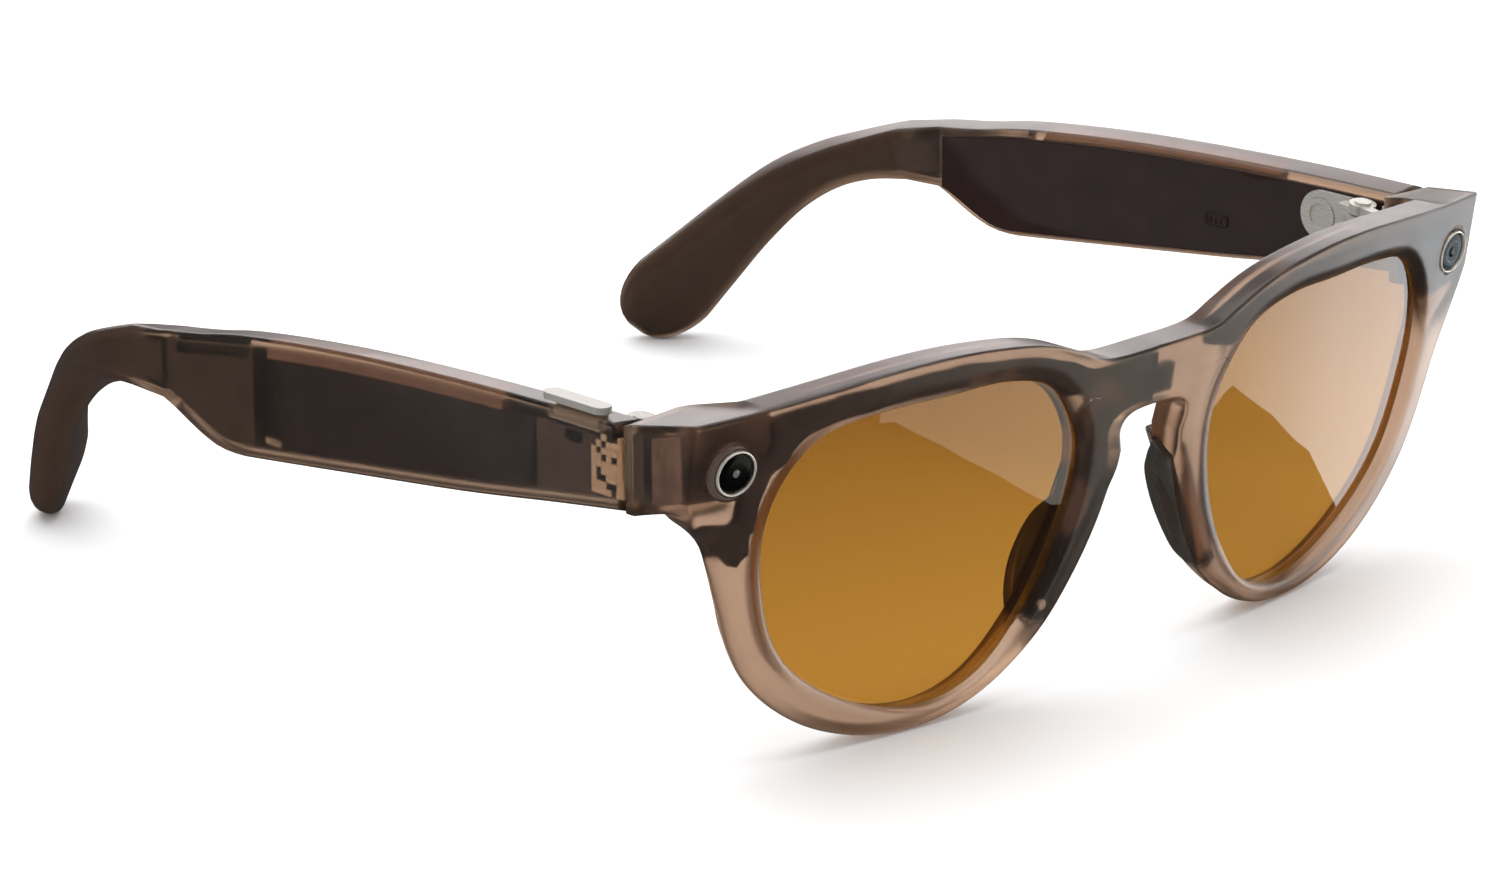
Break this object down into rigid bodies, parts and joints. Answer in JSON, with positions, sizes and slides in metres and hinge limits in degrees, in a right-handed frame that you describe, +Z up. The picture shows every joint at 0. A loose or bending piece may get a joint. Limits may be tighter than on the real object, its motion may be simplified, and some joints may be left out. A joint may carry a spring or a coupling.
{
  "type": "smart glasses",
  "caption": "Smart glasses with a translucent smoky front, amber lenses, a camera and an indicator window in the corners, and hinged temples holding the electronics.",
  "frame": {"origin": "on the floor, under the middle of the footprint of the open glasses as they stand on the rims and the temple tips", "axes": "+Z up; -Y the way the wearer looks, so the temples run back along +Y; +X the wearer's left"},
  "size_m": [0.145, 0.152, 0.0488],
  "materials": {
    "smoke_plastic": "translucent smoky brown, satin gloss",
    "amber_lens": "amber tinted, polished",
    "olive_pad": "soft matte",
    "bright_metal": "polished ring",
    "hinge_metal": "brushed",
    "camera_glass": "polished",
    "black_glass": "polished",
    "charcoal_plastic": "moulded",
    "light_guide": "frosted",
    "circuit_board": "solder mask",
    "flex_film": "thin film",
    "microphone_can": "small pressed can",
    "gold_contact": "gold plated",
    "inner_cover": "dark brown, nearly opaque",
    "tip_core": "dark moulded core",
    "grille": "fine mesh",
    "tan_bracket": "translucent tan",
    "shield_can": "pressed can",
    "copper_trace": "copper strips",
    "button_metal": "satin",
    "battery_wrap": "pouch cell",
    "switch_body": "moulded",
    "status_lens": "frosted"
  },
  "bodies": {
    "front": {"front_frame": "smoke_plastic", "brow_cover": "smoke_plastic", "lens_right": "amber_lens", "lens_left": "amber_lens", "nose_pad_right": "olive_pad", "nose_pad_left": "olive_pad", "camera_ring": "bright_metal", "camera_window": "camera_glass", "camera_module": "charcoal_plastic", "camera_board": "circuit_board", "indicator_ring": "bright_metal", "indicator_window": "black_glass", "indicator_light": "light_guide", "indicator_board": "circuit_board", "front_flex": "flex_film", "nose_microphone": "microphone_can", "charging_contact_carrier": "charcoal_plastic", "charging_contacts": "gold_contact", "hinge_front_leaf_right": "hinge_metal", "hinge_front_leaf_left": "hinge_metal", "hinge_pin_right": "hinge_metal", "hinge_pin_left": "hinge_metal"},
    "temple_right": {"temple_shell_right": "smoke_plastic", "temple_cover_right": "inner_cover", "tip_core_right": "tip_core", "hinge_rear_leaf_right": "hinge_metal", "hinge_disc_right": "hinge_metal", "speaker_right": "charcoal_plastic", "speaker_grille_right": "grille", "temple_microphone_right": "microphone_can", "top_bracket_right": "tan_bracket", "main_board": "circuit_board", "processor_shield": "shield_can", "touch_sensor": "flex_film", "antenna": "copper_trace", "capture_switch": "switch_body"},
    "temple_left": {"temple_shell_left": "smoke_plastic", "temple_cover_left": "inner_cover", "tip_core_left": "tip_core", "hinge_rear_leaf_left": "hinge_metal", "hinge_disc_left": "hinge_metal", "speaker_left": "charcoal_plastic", "speaker_grille_left": "grille", "temple_microphone_left": "microphone_can", "top_bracket_left": "tan_bracket", "battery": "battery_wrap", "battery_board": "circuit_board", "power_switch": "switch_body", "status_light": "status_lens"},
    "capture_button": {"capture_button": "button_metal"},
    "power_slider": {"power_slider": "charcoal_plastic"}
  },
  "joints": [
    {"name": "temple_right_hinge", "type": "hinge", "parent": "front", "child": "temple_right", "pos_m": [-0.065, -0.0519, 0.0396], "axis": [0, 0.1521, -0.9884], "range_deg": [0, 80]},
    {"name": "temple_left_hinge", "type": "hinge", "parent": "front", "child": "temple_left", "pos_m": [0.065, -0.0519, 0.0396], "axis": [0, -0.1521, 0.9884], "range_deg": [0, 90]},
    {"name": "capture_button_press", "type": "slide", "parent": "temple_right", "child": "capture_button", "axis": [0, 0, -1], "range_m": [0, 0.0003], "stiffness_N_per_m": 2500, "springref_m": -0.0002},
    {"name": "power_slider_slide", "type": "slide", "parent": "temple_left", "child": "power_slider", "axis": [0, 1, 0], "range_m": [0, 0.0015]}
  ]
}
